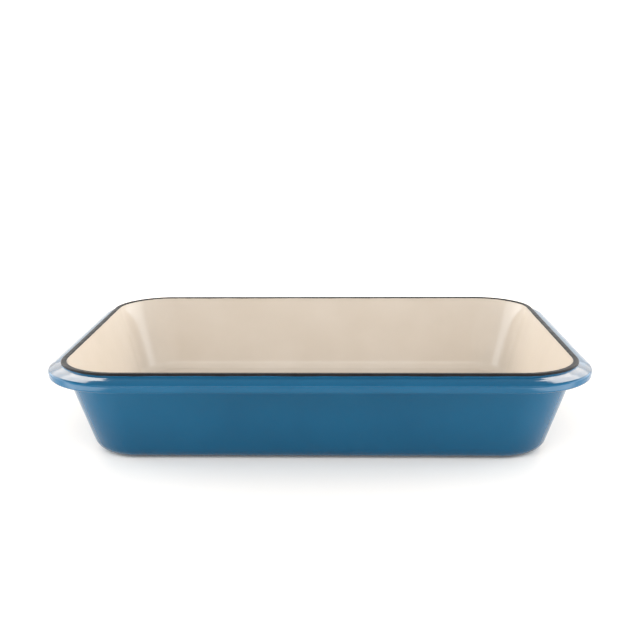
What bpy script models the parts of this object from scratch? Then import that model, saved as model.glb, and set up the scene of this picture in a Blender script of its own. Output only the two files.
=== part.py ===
"""Enamelled cast-iron roasting dish, modelled at real size with its base centre at the origin.

The casting carries five fired coats: sand enamel inside, blue enamel outside, a matt black band
round the rim, a black ring under the foot and a blue panel inside that ring. One skin line, drawn
as offset from the mouth against depth below the rim, is swept round the rounded rectangle. Each
coat is a stretch of that line, and the casting is the same line set back by a coat and a gap.
"""

import math

import bmesh
import bpy

# Driving dimensions, in metres. An offset is measured outward from the edge of the mouth,
# where the sand enamel meets the black band, and a depth is measured down from the rim's crown.
MOUTH_LENGTH = 0.3302
MOUTH_WIDTH = 0.2286
MOUTH_RADIUS = 0.0384
HEIGHT = 0.0633
INSIDE_DEPTH = 0.0565
WALL_TAPER = math.radians(16.9)
CORNER_DRIFT = 0.13  # how far each corner's centre moves in for every metre of depth

COAT = 0.0003
GAP = 0.00025

MOUTH_DEPTH = 0.0006  # the mouth's edge lies this far below the crown
LIP_WIDTH = 0.0038
CROWN_RADIUS = 0.0010
CROWN_INNER_RADIUS = 0.0006
BAND_DEPTH = 0.0013  # the black band ends here on the lip's outer face

FLANGE_REACH = 0.0125
FLANGE_ROOT_DEPTH = 0.0020
FLANGE_CREST = 0.0080  # the flange's top slopes gently out to this offset, and more steeply past it
FLANGE_CREST_DEPTH = 0.0032
FLANGE_EDGE_DEPTH = 0.0051
FLANGE_UNDERSIDE_DEPTH = 0.0104
LIP_FOOT_RADIUS = 0.0006
FLANGE_CREST_RADIUS = 0.0120
FLANGE_EDGE_RADIUS = 0.0020
FLANGE_BOTTOM_RADIUS = 0.0018
FLANGE_ROOT_RADIUS = 0.0025

WALL_TOP_OFFSET = 0.0005  # the outer wall's offset where it meets the flange's underside
BASE_RADIUS = 0.0090
FLOOR_RADIUS = 0.0075
FLOOR_MARGIN = 0.0120  # the flat floor starts this far inside the foot of the wall

FOOT_HEIGHT = 0.0008
FOOT_LEDGE = 0.0020
FOOT_WIDTH = 0.0060
FOOT_EDGE_RADIUS = 0.0003
PANEL_HEIGHT = 0.0012
PANEL_MARGIN = 0.0030

CORNER_SEGMENTS = 8
ARC_STEP = math.radians(28)

# Colours are linear red, green and blue.
BLUE = (0.020, 0.120, 0.240)
SAND = (0.700, 0.590, 0.460)
MATT_BLACK = (0.030, 0.030, 0.032)
IRON = (0.090, 0.088, 0.085)


def clear_scene():
    """Removes the startup scene's objects."""
    for obj in list(bpy.data.objects):
        bpy.data.objects.remove(obj, do_unlink=True)


def make_material(name, colour, roughness, metallic=0.0):
    """A Principled BSDF with the part's colour and finish."""
    material = bpy.data.materials.new(name)
    material.use_nodes = True
    shader = material.node_tree.nodes["Principled BSDF"]
    shader.inputs["Base Color"].default_value = (*colour, 1.0)
    shader.inputs["Roughness"].default_value = roughness
    shader.inputs["Metallic"].default_value = metallic
    material.diffuse_color = (*colour, 1.0)
    return material


def unit(x, y):
    """The vector (x, y) at length one."""
    length = math.hypot(x, y)
    return x / length, y / length


def round_corner(before, corner, after, radius):
    """The arc of this radius that replaces a corner, as a list of points."""
    ux, uy = unit(before[0] - corner[0], before[1] - corner[1])
    vx, vy = unit(after[0] - corner[0], after[1] - corner[1])
    half = math.acos(max(-1.0, min(1.0, ux * vx + uy * vy))) / 2
    bx, by = unit(ux + vx, uy + vy)
    reach = radius / math.sin(half)
    centre = (corner[0] + bx * reach, corner[1] + by * reach)
    tangent = radius / math.tan(half)
    start = (corner[0] + ux * tangent, corner[1] + uy * tangent)
    turn = math.pi - 2 * half
    side = 1 if ux * vy - uy * vx < 0 else -1
    steps = max(2, math.ceil(turn / ARC_STEP))
    arm = (start[0] - centre[0], start[1] - centre[1])
    points = []
    for step in range(steps + 1):
        angle = side * turn * step / steps
        x = arm[0] * math.cos(angle) - arm[1] * math.sin(angle)
        y = arm[0] * math.sin(angle) + arm[1] * math.cos(angle)
        points.append((centre[0] + x, centre[1] + y))
    return points


def rounded_line(corners):
    """A line through (offset, depth, radius) corners, with an arc wherever the radius isn't zero."""
    line = [corners[0][:2]]
    for before, corner, after in zip(corners, corners[1:], corners[2:]):
        if corner[2] > 0:
            line += round_corner(before, corner[:2], after, corner[2])
        else:
            line.append(corner[:2])
    line.append(corners[-1][:2])
    return line


def set_back(line, distance):
    """The parallel line that lies this far behind the skin, inside the metal."""
    normals = []
    for (x0, y0), (x1, y1) in zip(line, line[1:]):
        dx, dy = unit(x1 - x0, y1 - y0)
        normals.append((-dy, dx))
    joined = [normals[0]]
    for (ax, ay), (bx, by) in zip(normals, normals[1:]):
        scale = 1 + ax * bx + ay * by
        joined.append(((ax + bx) / scale, (ay + by) / scale))
    joined.append(normals[-1])
    return [(x + nx * distance, y + ny * distance) for (x, y), (nx, ny) in zip(line, joined)]


def trimmed(line, at_start, at_end):
    """The line shortened at either end, along its first and last segments."""
    (x0, y0), (x1, y1) = line[0], line[1]
    dx, dy = unit(x1 - x0, y1 - y0)
    first = (x0 + dx * at_start, y0 + dy * at_start)
    (x0, y0), (x1, y1) = line[-1], line[-2]
    dx, dy = unit(x1 - x0, y1 - y0)
    last = (x0 + dx * at_end, y0 + dy * at_end)
    return [first, *line[1:-1], last]


def loop_points(offset, depth):
    """The rounded rectangle at this offset and depth, anticlockwise from above."""
    radius = MOUTH_RADIUS + CORNER_DRIFT * (depth - MOUTH_DEPTH) + offset
    half_length = MOUTH_LENGTH / 2 + offset - radius
    half_width = MOUTH_WIDTH / 2 + offset - radius
    corners = ((1, 1), (-1, 1), (-1, -1), (1, -1))
    points = []
    for quarter, (side_x, side_y) in enumerate(corners):
        for step in range(CORNER_SEGMENTS + 1):
            angle = math.radians(90) * (quarter + step / CORNER_SEGMENTS)
            x = side_x * half_length + radius * math.cos(angle)
            y = side_y * half_width + radius * math.sin(angle)
            points.append((x, y, HEIGHT - depth))
    return points


def sweep(name, line, material, collection, cap_start=False, cap_end=False):
    """Sweeps a line round the dish. Its faces point to the skin's outside."""
    bm = bmesh.new()
    loops = []
    for offset, depth in line:
        loops.append([bm.verts.new(point) for point in loop_points(offset, depth)])
    count = len(loops[0])
    for inner, outer in zip(loops, loops[1:]):
        for i in range(count):
            j = (i + 1) % count
            bm.faces.new((inner[i], outer[i], outer[j], inner[j]))
    if cap_start:
        bm.faces.new(loops[0])
    if cap_end:
        bm.faces.new(reversed(loops[-1]))
    mesh = bpy.data.meshes.new(name)
    bm.to_mesh(mesh)
    bm.free()
    mesh.shade_smooth()
    mesh.set_sharp_from_angle(angle=math.radians(40))
    mesh.materials.append(material)
    obj = bpy.data.objects.new(name, mesh)
    collection.objects.link(obj)
    return obj


def add_coat(name, line, material, collection, **caps):
    """A fired coat: an open stretch of skin, thickened towards the iron."""
    coat = sweep(name, line, material, collection, **caps)
    solidify = coat.modifiers.new("coat_thickness", "SOLIDIFY")
    solidify.thickness = COAT
    solidify.offset = -1
    solidify.use_even_offset = True
    return coat


def interior_line():
    """From the edge of the flat floor, up the inner wall, to the black band."""
    slope = math.tan(WALL_TAPER)
    wall_foot = -(INSIDE_DEPTH - MOUTH_DEPTH) * slope
    return rounded_line([
        (wall_foot - FLOOR_MARGIN, INSIDE_DEPTH, 0),
        (wall_foot, INSIDE_DEPTH, FLOOR_RADIUS),
        (0, MOUTH_DEPTH, 0),
    ])


def band_line():
    """Over the rim's crown, from the mouth's edge to the lip's outer face."""
    crown_start = MOUTH_DEPTH * math.tan(WALL_TAPER)
    return rounded_line([
        (0, MOUTH_DEPTH, 0),
        (crown_start, 0, CROWN_INNER_RADIUS),
        (LIP_WIDTH, 0, CROWN_RADIUS),
        (LIP_WIDTH, BAND_DEPTH, 0),
    ])


def base_offset():
    """Where the outer wall's slope would reach the plane that the foot stands on."""
    drop = HEIGHT - FOOT_HEIGHT - FLANGE_UNDERSIDE_DEPTH
    return WALL_TOP_OFFSET - drop * math.tan(WALL_TAPER)


def foot_offset():
    """The offset of the foot's outer face."""
    turn = math.radians(90) - WALL_TAPER
    return base_offset() - BASE_RADIUS * math.tan(turn / 2) - FOOT_LEDGE


def exterior_line():
    """From the black band, over the flange, down the outer wall and under to the foot."""
    return rounded_line([
        (LIP_WIDTH, BAND_DEPTH, 0),
        (LIP_WIDTH, FLANGE_ROOT_DEPTH, LIP_FOOT_RADIUS),
        (FLANGE_CREST, FLANGE_CREST_DEPTH, FLANGE_CREST_RADIUS),
        (FLANGE_REACH, FLANGE_EDGE_DEPTH, FLANGE_EDGE_RADIUS),
        (FLANGE_REACH, FLANGE_UNDERSIDE_DEPTH, FLANGE_BOTTOM_RADIUS),
        (WALL_TOP_OFFSET, FLANGE_UNDERSIDE_DEPTH, FLANGE_ROOT_RADIUS),
        (base_offset(), HEIGHT - FOOT_HEIGHT, BASE_RADIUS),
        (foot_offset(), HEIGHT - FOOT_HEIGHT, 0),
    ])


def foot_line():
    """Down the foot's outer face, across the ring that the dish stands on, and up to the panel."""
    outer = foot_offset()
    inner = outer - FOOT_WIDTH
    return rounded_line([
        (outer, HEIGHT - FOOT_HEIGHT, 0),
        (outer, HEIGHT, FOOT_EDGE_RADIUS),
        (inner, HEIGHT, FOOT_EDGE_RADIUS),
        (inner, HEIGHT - PANEL_HEIGHT, 0),
    ])


def panel_line():
    """From the foot's inner face to the edge of the flat panel under the floor."""
    inner = foot_offset() - FOOT_WIDTH
    return [(inner, HEIGHT - PANEL_HEIGHT), (inner - PANEL_MARGIN, HEIGHT - PANEL_HEIGHT)]


def build():
    """Makes the casting and its five coats."""
    clear_scene()
    dish = bpy.data.collections.new("roasting_dish")
    bpy.context.scene.collection.children.link(dish)

    blue = make_material("blue_enamel", BLUE, 0.12)
    sand = make_material("sand_enamel", SAND, 0.28)
    black = make_material("matt_black_enamel", MATT_BLACK, 0.55)
    iron = make_material("grey_iron", IRON, 0.65, metallic=0.8)

    interior = interior_line()
    band = band_line()
    exterior = exterior_line()
    foot = foot_line()
    panel = panel_line()

    skin = [*interior, *band[1:], *exterior[1:], *foot[1:], *panel[1:]]
    sweep("casting", set_back(skin, COAT + GAP), iron, dish, cap_start=True, cap_end=True)

    half_gap = GAP / 2
    add_coat("interior_enamel", trimmed(interior, 0, half_gap), sand, dish, cap_start=True)
    add_coat("rim_enamel", trimmed(band, half_gap, half_gap), black, dish)
    add_coat("exterior_enamel", trimmed(exterior, half_gap, GAP + COAT), blue, dish)
    add_coat("foot_enamel", trimmed(foot, 0, 0), black, dish)
    add_coat("underside_enamel", trimmed(panel, GAP + COAT, 0), blue, dish, cap_end=True)


build()
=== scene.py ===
"""Looks of the enamelled cast-iron roasting dish: five fired coats on a casting, in studio light."""

import math

import bmesh
import bpy
import numpy as np
from mathutils import Euler, Matrix, Vector, noise


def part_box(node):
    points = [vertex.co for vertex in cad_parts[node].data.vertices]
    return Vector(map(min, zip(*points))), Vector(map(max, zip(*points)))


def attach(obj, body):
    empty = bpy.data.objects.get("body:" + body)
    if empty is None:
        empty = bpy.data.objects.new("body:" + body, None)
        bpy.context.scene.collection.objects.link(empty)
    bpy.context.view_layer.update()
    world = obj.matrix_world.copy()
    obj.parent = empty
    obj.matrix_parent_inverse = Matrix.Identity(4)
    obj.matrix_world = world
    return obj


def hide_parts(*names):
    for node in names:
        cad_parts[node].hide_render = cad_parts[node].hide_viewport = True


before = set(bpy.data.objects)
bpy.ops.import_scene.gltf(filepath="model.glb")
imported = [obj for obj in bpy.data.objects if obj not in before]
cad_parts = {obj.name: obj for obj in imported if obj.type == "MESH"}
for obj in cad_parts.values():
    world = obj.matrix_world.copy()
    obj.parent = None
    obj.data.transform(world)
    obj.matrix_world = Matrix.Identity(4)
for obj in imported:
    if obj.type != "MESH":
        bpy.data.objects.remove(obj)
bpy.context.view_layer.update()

# ---------------------------------------------------------------- dimensions, in metres
# An offset is measured outward from the edge of the mouth, and a depth down from the rim's crown.
RIM_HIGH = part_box("rim_enamel")[1]
SKIN_LOW, SKIN_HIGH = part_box("exterior_enamel")
INSIDE_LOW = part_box("interior_enamel")[0]
FOOT_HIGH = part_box("foot_enamel")[1]
PANEL_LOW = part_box("underside_enamel")[0]

COAT = 0.0003
LIP_WIDTH = 0.0038
MOUTH_LENGTH = 2 * (RIM_HIGH.x - LIP_WIDTH)
MOUTH_WIDTH = 2 * (RIM_HIGH.y - LIP_WIDTH)
MOUTH_RADIUS = 0.0384
HEIGHT = RIM_HIGH.z
INSIDE_DEPTH = HEIGHT - (INSIDE_LOW.z + COAT)
WALL_TAPER = math.radians(16.9)
CORNER_DRIFT = 0.13

MOUTH_DEPTH = 0.0006
CROWN_RADIUS = 0.0010
CROWN_INNER_RADIUS = 0.0006
BAND_DEPTH = 0.0013
FLANGE_REACH = SKIN_HIGH.x - MOUTH_LENGTH / 2
FLANGE_ROOT_DEPTH = 0.0020
FLANGE_CREST = 0.0080
FLANGE_CREST_DEPTH = 0.0032
FLANGE_EDGE_DEPTH = 0.0051
FLANGE_UNDERSIDE_DEPTH = 0.0104
LIP_FOOT_RADIUS = 0.0006
FLANGE_CREST_RADIUS = 0.0120
FLANGE_EDGE_RADIUS = 0.0020
FLANGE_BOTTOM_RADIUS = 0.0018
FLANGE_ROOT_RADIUS = 0.0025
WALL_TOP_OFFSET = 0.0005
BASE_RADIUS = 0.0090
FLOOR_RADIUS = 0.0075
FLOOR_MARGIN = 0.0120
FOOT_HEIGHT = SKIN_LOW.z
FOOT_OUTER = FOOT_HIGH.x - MOUTH_LENGTH / 2
FOOT_INNER = FOOT_OUTER - 0.0060
FOOT_EDGE_RADIUS = 0.0003
PANEL_HEIGHT = PANEL_LOW.z

# The glaze's own relief: each coat ends in a small wandering bead, and the black band tucks
# under it.
BEAD = 0.00010
BEAD_LENGTH = 0.0009
BEAD_PROFILE = ((0, -0.4), (0.15, 0.6), (0.4, 1.0), (0.7, 0.6), (0.9, 0.2))
EDGE_WAVE = 0.00016
WANDER = (1.0, 1.0, 0.9, 0.7, 0.5, 0.3, 0.1)
TUCK = 0.00004
TUCK_LENGTH = 0.0004
CAST_WAVE = 0.00006
IRON_GAP = COAT * 1.1  # from a coat's skin to the iron under it
WAVE_SPACING = 0.020
WANDER_SPACING = 0.011
WANDER_FINE_SPACING = 0.0031

ARC_STEP = math.radians(10)
RUN_STEP = 0.0028
BACK_ARC_STEP = math.radians(30)
BACK_RUN_STEP = 0.030
CORNER_STEPS = 40
LONG_STEPS = 190
SHORT_STEPS = 125
FLOOR_ROWS = 24
WELD_DISTANCE = 0.000002

FLOOR_REACH = 4.0
FLOOR_DROP = 0.00005  # keeps the floor clear of the foot's face

CAMERA_PLACE = (0.0129, -0.6832, 0.2280)
CAMERA_PITCH = math.radians(13.01)
CAMERA_HEADING = math.radians(1.14)
CAMERA_ROLL = math.radians(-0.28)
CAMERA_LENS = 53.86

# The sky is panels of light, in degrees. BANDS holds the edges of the bands of elevation. Each row
# of SECTORS is a name, its ranges of azimuth from straight behind the dish with right positive,
# one radiance for each band from the lowest up, and a tint. The radiances began as the output of
# a least-squares solver, and were then rounded and partly changed.
WHITE = (1.0, 1.0, 1.0)
WARM = (1.12, 1.0, 0.88)
COOL = (0.96, 1.0, 1.04)
BANDS = (-10, 8, 20, 32, 42, 52)
SECTORS = (
    ("back", ((-14, 14),), (3.0, 1.5, 0.8, 0.5, 0.5), WHITE),
    ("rear", ((-24, -14), (14, 24)), (1.3, 2.5, 1.2, 0.6, 0.6), WHITE),
    ("key", ((-44, -24), (24, 44)), (1.4, 2.5, 5.0, 8.5, 10.0), WARM),
    ("quarter", ((-60, -44), (44, 60)), (4.0, 4.5, 3.0, 1.0, 0.5), COOL),
    ("side", ((-101, -60), (60, 101)), (3.5, 4.5, 3.5, 0.8, 0.5), COOL),
    ("flank", ((-130, -101), (101, 130)), (2.0, 1.5, 1.2, 1.5, 1.5), COOL),
    ("front", ((-181, -130), (130, 181)), (1.1, 0.9, 1.2, 3.0, 4.0), WHITE),
)
TOP_RADIANCE = 0.65
PANEL_SOFTNESS = 1.0

# The table glows faintly all over, and more beyond the dish's front corners, as low fill.
TABLE_GLOW = 0.08
FILL_GLOW = 4.5
FILL_START = 0.18
FILL_FULL = 0.24
FILL_NEAR = -0.08
FILL_FAR = -0.16

WHITE_TABLE = (0.95, 0.905, 0.855)
BLUE_GLAZE = ((0.0005, 0.066, 0.141), (0.0008, 0.073, 0.154))
SAND_GLAZE = ((0.550, 0.482, 0.402), (0.575, 0.508, 0.430))
BLACK_GLAZE = ((0.009, 0.009, 0.010), (0.016, 0.016, 0.016))
GREY_IRON = ((0.07, 0.068, 0.066), (0.14, 0.135, 0.13))


# ---------------------------------------------------------------- section lines
def unit(x, y):
    """The vector (x, y) at length one."""
    length = math.hypot(x, y)
    return x / length, y / length


def round_corner(before, corner, after, radius, arc_step):
    """The arc of this radius that replaces a corner, as a list of points."""
    if radius == 0:
        return [corner]
    ux, uy = unit(before[0] - corner[0], before[1] - corner[1])
    vx, vy = unit(after[0] - corner[0], after[1] - corner[1])
    half = math.acos(max(-1.0, min(1.0, ux * vx + uy * vy))) / 2
    bx, by = unit(ux + vx, uy + vy)
    reach = radius / math.sin(half)
    centre = (corner[0] + bx * reach, corner[1] + by * reach)
    tangent = radius / math.tan(half)
    arm = (corner[0] + ux * tangent - centre[0], corner[1] + uy * tangent - centre[1])
    turn = math.pi - 2 * half
    side = 1 if ux * vy - uy * vx < 0 else -1
    steps = max(3, math.ceil(turn / arc_step))
    points = []
    for step in range(steps + 1):
        angle = side * turn * step / steps
        x = arm[0] * math.cos(angle) - arm[1] * math.sin(angle)
        y = arm[0] * math.sin(angle) + arm[1] * math.cos(angle)
        points.append((centre[0] + x, centre[1] + y))
    return points


def rounded_line(corners, arc_step, run_step):
    """A line through (offset, depth, radius) corners: arcs, and points along its straight runs."""
    bare = [corners[0][:2]]
    for before, corner, after in zip(corners, corners[1:], corners[2:]):
        bare += round_corner(before, corner[:2], after, corner[2], arc_step)
    bare.append(corners[-1][:2])
    line = [bare[0]]
    for (x0, y0), (x1, y1) in zip(bare, bare[1:]):
        pieces = max(1, round(math.hypot(x1 - x0, y1 - y0) / run_step))
        for step in range(1, pieces + 1):
            part = step / pieces
            line.append((x0 + (x1 - x0) * part, y0 + (y1 - y0) * part))
    return line


def set_back(line, distance):
    """The parallel line that lies this far behind the skin, inside the metal."""
    normals = []
    for (x0, y0), (x1, y1) in zip(line, line[1:]):
        dx, dy = unit(x1 - x0, y1 - y0)
        normals.append((-dy, dx))
    joined = [normals[0]]
    for (ax, ay), (bx, by) in zip(normals, normals[1:]):
        scale = 1 + ax * bx + ay * by
        joined.append(((ax + bx) / scale, (ay + by) / scale))
    joined.append(normals[-1])
    return [(x + nx * distance, y + ny * distance) for (x, y), (nx, ny) in zip(line, joined)]


def interior_corners():
    """From the edge of the flat floor, up the inner wall, to the black band."""
    wall_foot = -(INSIDE_DEPTH - MOUTH_DEPTH) * math.tan(WALL_TAPER)
    return [
        (wall_foot - FLOOR_MARGIN, INSIDE_DEPTH, 0),
        (wall_foot, INSIDE_DEPTH, FLOOR_RADIUS),
        (0, MOUTH_DEPTH, 0),
    ]


def band_corners():
    """Over the rim's crown, from under the sand glaze's edge to under the blue glaze's edge."""
    crown_start = MOUTH_DEPTH * math.tan(WALL_TAPER)
    start = -TUCK_LENGTH * math.sin(WALL_TAPER) + TUCK
    return [
        (start, MOUTH_DEPTH + TUCK_LENGTH * math.cos(WALL_TAPER), 0),
        (crown_start, 0, CROWN_INNER_RADIUS),
        (LIP_WIDTH, 0, CROWN_RADIUS),
        (LIP_WIDTH - TUCK, BAND_DEPTH + TUCK_LENGTH, 0),
    ]


def exterior_corners():
    """From the black band, over the flange, down the outer wall and under to the foot."""
    drop = HEIGHT - FOOT_HEIGHT - FLANGE_UNDERSIDE_DEPTH
    base_offset = WALL_TOP_OFFSET - drop * math.tan(WALL_TAPER)
    return [
        (LIP_WIDTH, BAND_DEPTH, 0),
        (LIP_WIDTH, FLANGE_ROOT_DEPTH, LIP_FOOT_RADIUS),
        (FLANGE_CREST, FLANGE_CREST_DEPTH, FLANGE_CREST_RADIUS),
        (FLANGE_REACH, FLANGE_EDGE_DEPTH, FLANGE_EDGE_RADIUS),
        (FLANGE_REACH, FLANGE_UNDERSIDE_DEPTH, FLANGE_BOTTOM_RADIUS),
        (WALL_TOP_OFFSET, FLANGE_UNDERSIDE_DEPTH, FLANGE_ROOT_RADIUS),
        (base_offset, HEIGHT - FOOT_HEIGHT, BASE_RADIUS),
        (FOOT_OUTER, HEIGHT - FOOT_HEIGHT, 0),
    ]


def foot_corners():
    """Down the foot's outer face, across the ring it stands on, and up to the panel."""
    return [
        (FOOT_OUTER, HEIGHT - FOOT_HEIGHT, 0),
        (FOOT_OUTER, HEIGHT, FOOT_EDGE_RADIUS),
        (FOOT_INNER, HEIGHT, FOOT_EDGE_RADIUS),
        (FOOT_INNER, HEIGHT - PANEL_HEIGHT, 0),
    ]


def skin_line(corners):
    """The visible line of a coat, with fine steps."""
    return rounded_line(corners, ARC_STEP, RUN_STEP)


def back_line(corners, distance):
    """A plainer line this far behind the skin, which nobody sees."""
    return set_back(rounded_line(corners, BACK_ARC_STEP, BACK_RUN_STEP), distance)


def beaded(line, side):
    """The line with its start raised into a small bead. Side is 1 for a line that runs down the
    outside of the dish, and -1 for one that runs down the inside."""
    (x0, y0), (x1, y1) = line[0], line[1]
    dx, dy = unit(x1 - x0, y1 - y0)
    length = min(math.hypot(x1 - x0, y1 - y0), BEAD_LENGTH)
    points = []
    for along, lift in BEAD_PROFILE:
        forward = along * length
        rise = lift * BEAD * side
        points.append((x0 + dx * forward + dy * rise, y0 + dy * forward - dx * rise))
    return points + list(line[1:])


# ---------------------------------------------------------------- surfaces swept round the dish
def ring(offset, depth, inset=0.0):
    """Points round the rounded rectangle. An inset of 1 draws them in to its middle line."""
    radius = MOUTH_RADIUS + CORNER_DRIFT * (depth - MOUTH_DEPTH) + offset
    half_length = MOUTH_LENGTH / 2 + offset - radius
    half_width = MOUTH_WIDTH / 2 + offset - radius
    corners = ((1, 1), (-1, 1), (-1, -1), (1, -1))
    points = []
    for quarter, (side_x, side_y) in enumerate(corners):
        for step in range(CORNER_STEPS):
            angle = math.radians(90) * (quarter + step / CORNER_STEPS)
            points.append((side_x * half_length + radius * math.cos(angle),
                           side_y * half_width + radius * math.sin(angle)))
        angle = math.radians(90) * (quarter + 1)
        arm_x, arm_y = radius * math.cos(angle), radius * math.sin(angle)
        next_x, next_y = corners[(quarter + 1) % 4]
        start = (side_x * half_length + arm_x, side_y * half_width + arm_y)
        end = (next_x * half_length + arm_x, next_y * half_width + arm_y)
        steps = LONG_STEPS if quarter % 2 == 0 else SHORT_STEPS
        for step in range(steps):
            part = step / steps
            points.append((start[0] + (end[0] - start[0]) * part,
                           start[1] + (end[1] - start[1]) * part))
    flat = np.array(points)
    spine = (MOUTH_LENGTH - MOUTH_WIDTH) / 2
    middle = np.stack([np.clip(flat[:, 0], -spine, spine), np.zeros(len(flat))], axis=1)
    flat += (middle - flat) * inset
    return np.column_stack([flat, np.full(len(flat), HEIGHT - depth)])


def rings(line):
    """One ring for each point of a section line, as an array of rows, columns and coordinates."""
    return np.array([ring(*point) for point in line])


def inset_rings(edge, depth, rows):
    """Rings that close a flat area, from its edge to the line along its middle."""
    return np.array([ring(edge, depth, row / rows) for row in range(1, rows + 1)])


def grid_normals(grid):
    """Unit normals of a swept surface, out of the metal."""
    along = np.roll(grid, -1, axis=1) - np.roll(grid, 1, axis=1)
    across = np.gradient(grid, axis=0)
    normals = np.cross(across, along)
    return normals / np.maximum(np.linalg.norm(normals, axis=2, keepdims=True), 1e-12)


def make_piece(name, grid, closed):
    """A solid from a grid of points. A closed section joins its last row to its first."""
    rows, columns = grid.shape[:2]
    index = np.arange(rows * columns).reshape(rows, columns)
    below = np.roll(index, -1, axis=0) if closed else index[1:]
    above = index if closed else index[:-1]
    faces = np.stack([above, below, np.roll(below, -1, axis=1), np.roll(above, -1, axis=1)],
                     axis=-1)
    mesh = bpy.data.meshes.new(name)
    mesh.from_pydata(grid.reshape(-1, 3), [], faces.reshape(-1, 4))
    mesh.shade_smooth()
    piece = bpy.data.objects.new(name, mesh)
    bpy.context.scene.collection.objects.link(piece)
    return piece


def undulate(grid, rows, seed):
    """Moves the skin rows a little along their normals, as cast iron and glaze are never flat."""
    normals = grid_normals(grid)
    for row in rows:
        for column in range(grid.shape[1]):
            place = Vector(grid[row, column]) / WAVE_SPACING + Vector((seed, seed, seed))
            lift = noise.noise(place) * 0.7 + noise.noise(place * 2.3) * 0.3
            grid[row, column] += normals[row, column] * CAST_WAVE * (lift - 0.5)


def wander(grid, rows, along, seed):
    """Shifts the rows beside a glaze's edge to and fro. Along is the way down the section, as
    (offset, depth)."""
    edge = grid[rows[0]]
    outward = np.roll(edge, -1, axis=0) - np.roll(edge, 1, axis=0)
    outward = np.column_stack([outward[:, 1], -outward[:, 0]])
    outward /= np.linalg.norm(outward, axis=1, keepdims=True)
    swing = EDGE_WAVE * np.array([
        noise.noise(Vector(point) / WANDER_SPACING + Vector((seed, 0, 0)))
        + 0.7 * noise.noise(Vector(point) / WANDER_FINE_SPACING)
        for point in edge
    ])
    step = np.column_stack([outward * along[0], np.full(len(edge), -along[1])]) * swing[:, None]
    for row, share in zip(rows, WANDER):
        grid[row] += step * share


# ---------------------------------------------------------------- pieces
def make_rim():
    """The matt black band over the crown, a closed tube of glaze."""
    line = skin_line(band_corners())
    grid = rings([*line, *reversed(back_line(band_corners(), COAT))])
    return make_piece("rim_band", grid, closed=True)


def make_exterior():
    """The blue coat, whose top edge is a wandering bead just under the band."""
    line = beaded(skin_line(exterior_corners()), 1)
    grid = rings([*line, *reversed(back_line(exterior_corners(), COAT))])
    undulate(grid, range(len(line)), 3.1)
    wander(grid, range(len(WANDER)), (0, 1), 5.5)
    return make_piece("outer_glaze", grid, closed=True)


def make_interior():
    """The sand coat, whose top edge meets the band at the mouth."""
    corners = interior_corners()
    line = beaded(skin_line(corners)[::-1], -1)[::-1]
    back = back_line(corners, COAT)
    floor = inset_rings(line[0][0], line[0][1], FLOOR_ROWS)
    under = inset_rings(back[0][0], back[0][1], FLOOR_ROWS)
    grid = np.concatenate([floor[::-1], rings(line), rings(back)[::-1], under])
    top = len(floor) + len(line) - 1
    undulate(grid, range(len(floor), top + 1), 7.7)
    down_wall = (-math.sin(WALL_TAPER), math.cos(WALL_TAPER))
    wander(grid, range(top, top - len(WANDER), -1), down_wall, 2.5)
    return weld(make_piece("inner_glaze", grid, closed=False))


def make_foot():
    """The black ring that the dish stands on."""
    line = skin_line(foot_corners())
    grid = rings([*line, *reversed(set_back(line, COAT))])
    return make_piece("foot_ring", grid, closed=True)


def make_underside():
    """The blue panel inside the foot ring."""
    edge = FOOT_INNER - COAT
    depth = HEIGHT - PANEL_HEIGHT
    skin = inset_rings(edge, depth, FLOOR_ROWS)
    back = inset_rings(edge, depth - COAT, FLOOR_ROWS)
    grid = np.concatenate([back[::-1], rings([(edge, depth - COAT), (edge, depth)]), skin])
    return weld(make_piece("base_glaze", grid, closed=False))


def make_casting():
    """The iron under the glaze."""
    corners = [
        *interior_corners()[:-1],
        *band_corners()[1:-1],
        *exterior_corners()[1:-1],
        *foot_corners(),
    ]
    line = back_line(corners, IRON_GAP)
    floor = inset_rings(line[0][0], line[0][1], FLOOR_ROWS)
    base = inset_rings(line[-1][0], line[-1][1], FLOOR_ROWS)
    grid = np.concatenate([floor[::-1], rings(line), base])
    return weld(make_piece("iron_body", grid, closed=False))


def weld(piece):
    """Joins the points that meet on the middle line of a closed floor."""
    bm = bmesh.new()
    bm.from_mesh(piece.data)
    bmesh.ops.remove_doubles(bm, verts=bm.verts, dist=WELD_DISTANCE)
    bm.to_mesh(piece.data)
    bm.free()
    return piece


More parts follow.
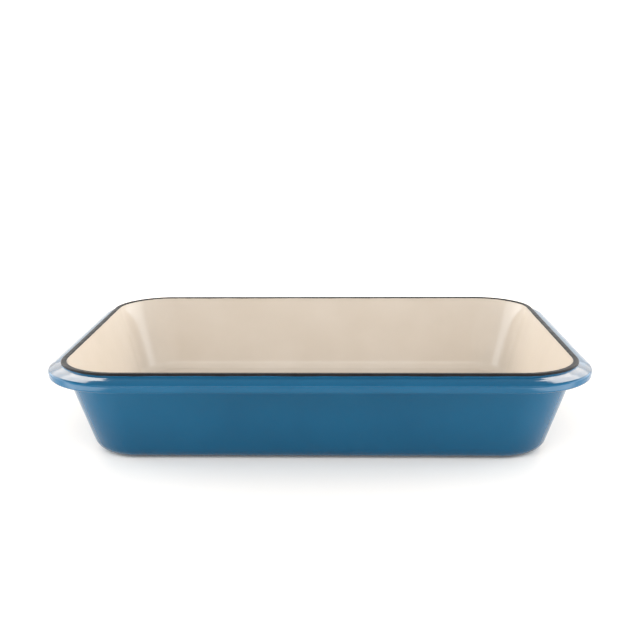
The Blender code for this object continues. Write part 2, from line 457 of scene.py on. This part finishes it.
# ---------------------------------------------------------------- materials
class Nodes:
    """Short calls for building a material's nodes."""

    def __init__(self, name):
        self.material = bpy.data.materials.new(name)
        self.material.use_nodes = True
        self.tree = self.material.node_tree
        self.shader = self.tree.nodes["Principled BSDF"]

    def add(self, kind, **settings):
        """A new node, with its inputs or its own settings given by name."""
        node = self.tree.nodes.new(kind)
        for key, value in settings.items():
            if key in node.inputs:
                node.inputs[key].default_value = value
            else:
                setattr(node, key, value)
        return node

    def link(self, source, target):
        """Joins an output to an input."""
        self.tree.links.new(source, target)

    def place(self):
        """Where a point is on the piece, in metres."""
        return self.add("ShaderNodeTexCoord").outputs["Object"]

    def noise(self, size, detail=2.0, roughness=0.5):
        """A noise pattern whose lumps are about this many metres apart."""
        node = self.add("ShaderNodeTexNoise", Scale=1 / size, Detail=detail, Roughness=roughness)
        self.link(self.place(), node.inputs["Vector"])
        return node.outputs["Fac"]

    def ramp(self, value, low, high):
        """A noise pattern's middle values, spread over the range from low to high."""
        node = self.add("ShaderNodeMapRange")
        node.inputs["From Min"].default_value = 0.3
        node.inputs["From Max"].default_value = 0.7
        node.inputs["To Min"].default_value = low
        node.inputs["To Max"].default_value = high
        self.link(value, node.inputs["Value"])
        return node.outputs["Result"]

    def step(self, value, start, full, height):
        """A smooth rise from 0 at start to height at full."""
        node = self.add("ShaderNodeMapRange", interpolation_type="SMOOTHSTEP")
        node.inputs["From Min"].default_value = start
        node.inputs["From Max"].default_value = full
        node.inputs["To Max"].default_value = height
        self.link(value, node.inputs["Value"])
        return node.outputs["Result"]

    def blend(self, share, first, second):
        """A colour between two, by a share."""
        node = self.add("ShaderNodeMix", data_type="RGBA")
        self.link(share, node.inputs["Factor"])
        node.inputs["A"].default_value = (*first, 1)
        node.inputs["B"].default_value = (*second, 1)
        return node.outputs[2]

    def bump(self, height, distance, below=None):
        """A bumped normal, this many metres deep, on top of another if one is given."""
        node = self.add("ShaderNodeBump", Strength=1.0, Distance=distance)
        self.link(height, node.inputs["Height"])
        if below is not None:
            self.link(below, node.inputs["Normal"])
        return node.outputs["Normal"]


def clouded(nodes, size, detail, colours):
    """Sets a base colour that drifts between two, in clouds of this size."""
    clouds = nodes.ramp(nodes.noise(size, detail), 0.0, 1.0)
    nodes.link(nodes.blend(clouds, *colours), nodes.shader.inputs["Base Color"])


def uneven_gloss(nodes, size, detail, low, high):
    """Sets a roughness that drifts between two values."""
    nodes.link(nodes.ramp(nodes.noise(size, detail), low, high), nodes.shader.inputs["Roughness"])


def gloss_glaze(name, colours, roughness, ior):
    """Glossy fired glass: faint clouds of colour, an orange-peel surface and an uneven gloss."""
    nodes = Nodes(name)
    clouded(nodes, 0.035, 3.0, colours)
    uneven_gloss(nodes, 0.012, 3.0, roughness * 0.8, roughness * 1.25)
    nodes.shader.inputs["IOR"].default_value = ior
    peel = nodes.bump(nodes.noise(0.0035, 2.0), 0.00003)
    pits = nodes.bump(nodes.noise(0.0009, 1.0), 0.000004, peel)
    nodes.link(pits, nodes.shader.inputs["Normal"])
    return nodes.material


def matt_black():
    """The bare ground coat: near black, fine-grained, with a soft low gloss."""
    nodes = Nodes("matt_black_glaze")
    clouded(nodes, 0.006, 4.0, BLACK_GLAZE)
    uneven_gloss(nodes, 0.004, 3.0, 0.34, 0.46)
    nodes.shader.inputs["IOR"].default_value = 1.16
    nodes.link(nodes.bump(nodes.noise(0.0012, 3.0), 0.00003), nodes.shader.inputs["Normal"])
    return nodes.material


def grey_iron():
    """Rough cast iron. The coats cover all of it."""
    nodes = Nodes("cast_iron")
    nodes.shader.inputs["Metallic"].default_value = 0.85
    clouded(nodes, 0.004, 5.0, GREY_IRON)
    uneven_gloss(nodes, 0.003, 4.0, 0.5, 0.75)
    nodes.link(nodes.bump(nodes.noise(0.0015, 4.0), 0.00015), nodes.shader.inputs["Normal"])
    return nodes.material


# ---------------------------------------------------------------- studio
def make_floor():
    """The white table, with its faint glow and the fill light beyond the dish's front corners."""
    mesh = bpy.data.meshes.new("floor")
    square = ((-1, -1), (1, -1), (1, 1), (-1, 1))
    corners = [(x * FLOOR_REACH, y * FLOOR_REACH, 0) for x, y in square]
    mesh.from_pydata(corners, [], [(0, 1, 2, 3)])
    floor = bpy.data.objects.new("floor", mesh)
    floor.location.z = -FLOOR_DROP
    bpy.context.scene.collection.objects.link(floor)
    nodes = Nodes("floor_white")
    nodes.shader.inputs["Base Color"].default_value = (*WHITE_TABLE, 1)
    nodes.shader.inputs["Roughness"].default_value = 0.9
    nodes.shader.inputs["Specular IOR Level"].default_value = 0.0
    across = nodes.add("ShaderNodeSeparateXYZ")
    nodes.link(nodes.place(), across.inputs[0])
    from_middle = nodes.add("ShaderNodeMath", operation="ABSOLUTE")
    nodes.link(across.outputs["X"], from_middle.inputs[0])
    beside = nodes.step(from_middle.outputs[0], FILL_START, FILL_FULL, FILL_GLOW)
    ahead = nodes.step(across.outputs["Y"], FILL_NEAR, FILL_FAR, 1.0)
    glow = nodes.add("ShaderNodeMath", operation="MULTIPLY_ADD")
    nodes.link(beside, glow.inputs[0])
    nodes.link(ahead, glow.inputs[1])
    glow.inputs[2].default_value = TABLE_GLOW
    nodes.link(glow.outputs[0], nodes.shader.inputs["Emission Strength"])
    nodes.shader.inputs["Emission Color"].default_value = (1, 1, 1, 1)
    mesh.materials.append(nodes.material)


def make_world():
    """Panels of light all round the sky, each between two azimuths and two elevations."""
    world = bpy.data.worlds.new("studio")
    bpy.context.scene.world = world
    world.use_nodes = True
    tree = world.node_tree
    background = tree.nodes["Background"]

    def maths(operation, *values):
        """A maths node's output, from numbers or other outputs."""
        node = tree.nodes.new("ShaderNodeMath")
        node.operation = operation
        for socket, value in zip(node.inputs, values):
            if isinstance(value, (int, float)):
                socket.default_value = value
            else:
                tree.links.new(value, socket)
        return node.outputs[0]

    def rise(value, edge, softness):
        """A smooth rise from 0 to 1 across an edge, in degrees."""
        node = tree.nodes.new("ShaderNodeMapRange")
        node.interpolation_type = "SMOOTHSTEP"
        tree.links.new(value, node.inputs["Value"])
        node.inputs["From Min"].default_value = math.radians(edge - softness)
        node.inputs["From Max"].default_value = math.radians(edge + softness)
        return node.outputs["Result"]

    def between(value, low, high):
        """1 between two edges and 0 outside them, with soft borders."""
        above = maths("SUBTRACT", 1.0, rise(value, high, PANEL_SOFTNESS))
        return maths("MULTIPLY", rise(value, low, PANEL_SOFTNESS), above)

    direction = tree.nodes.new("ShaderNodeTexCoord").outputs["Generated"]
    split = tree.nodes.new("ShaderNodeSeparateXYZ")
    tree.links.new(direction, split.inputs[0])
    x, y, z = split.outputs
    azimuth = maths("ARCTAN2", x, y)
    elevation = maths("ARCSINE", maths("MAXIMUM", maths("MINIMUM", z, 1.0), -1.0))

    def panel(name, share, colour, strength):
        """One panel's light: its tint and strength, where its share is 1."""
        node = tree.nodes.new("ShaderNodeVectorMath")
        node.operation = "SCALE"
        node.name = name
        node.inputs[0].default_value = [channel * strength for channel in colour]
        tree.links.new(share, node.inputs["Scale"])
        return node.outputs[0]

    total = panel("top", rise(elevation, BANDS[-1], PANEL_SOFTNESS), WHITE, TOP_RADIANCE)
    for sector, ranges, strengths, colour in SECTORS:
        for left, right in ranges:
            across = between(azimuth, left, right)
            for low, high, strength in zip(BANDS, BANDS[1:], strengths):
                share = maths("MULTIPLY", across, between(elevation, low, high))
                addition = tree.nodes.new("ShaderNodeVectorMath")
                tree.links.new(total, addition.inputs[0])
                light = panel(f"{sector}_{low}_{left}", share, colour, strength)
                tree.links.new(light, addition.inputs[1])
                total = addition.outputs[0]
    tree.links.new(total, background.inputs["Color"])


def make_camera():
    """The view from in front of the dish and a little above it."""
    data = bpy.data.cameras.new("camera")
    data.lens = CAMERA_LENS
    data.sensor_width = 36
    camera = bpy.data.objects.new("camera", data)
    camera.location = CAMERA_PLACE
    turn = Euler((math.radians(90) - CAMERA_PITCH, 0, CAMERA_HEADING)).to_matrix()
    camera.rotation_euler = (turn @ Matrix.Rotation(CAMERA_ROLL, 3, "Z")).to_euler()
    bpy.context.scene.collection.objects.link(camera)
    bpy.context.scene.camera = camera


def make_dish():
    """Every piece, with its material, its body and the CAD node it replaces, from a table that also
    lists each piece's slot.
    """
    blue = gloss_glaze("blue_glaze", BLUE_GLAZE, 0.07, 1.36)
    sand = gloss_glaze("sand_glaze", SAND_GLAZE, 0.13, 1.40)
    black = matt_black()
    iron = grey_iron()
    for make, material, node, slot in (
        (make_casting, iron, "casting", "iron"),
        (make_interior, sand, "interior_enamel", "sand_enamel"),
        (make_rim, black, "rim_enamel", "black_enamel"),
        (make_exterior, blue, "exterior_enamel", "blue_enamel"),
        (make_foot, black, "foot_enamel", "black_enamel"),
        (make_underside, blue, "underside_enamel", "blue_enamel"),
    ):
        piece = make()
        piece.data.materials.append(material)
        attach(piece, "root")
        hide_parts(node)


make_dish()
make_floor()
make_world()
make_camera()
bpy.context.scene.view_settings.view_transform = "Standard"
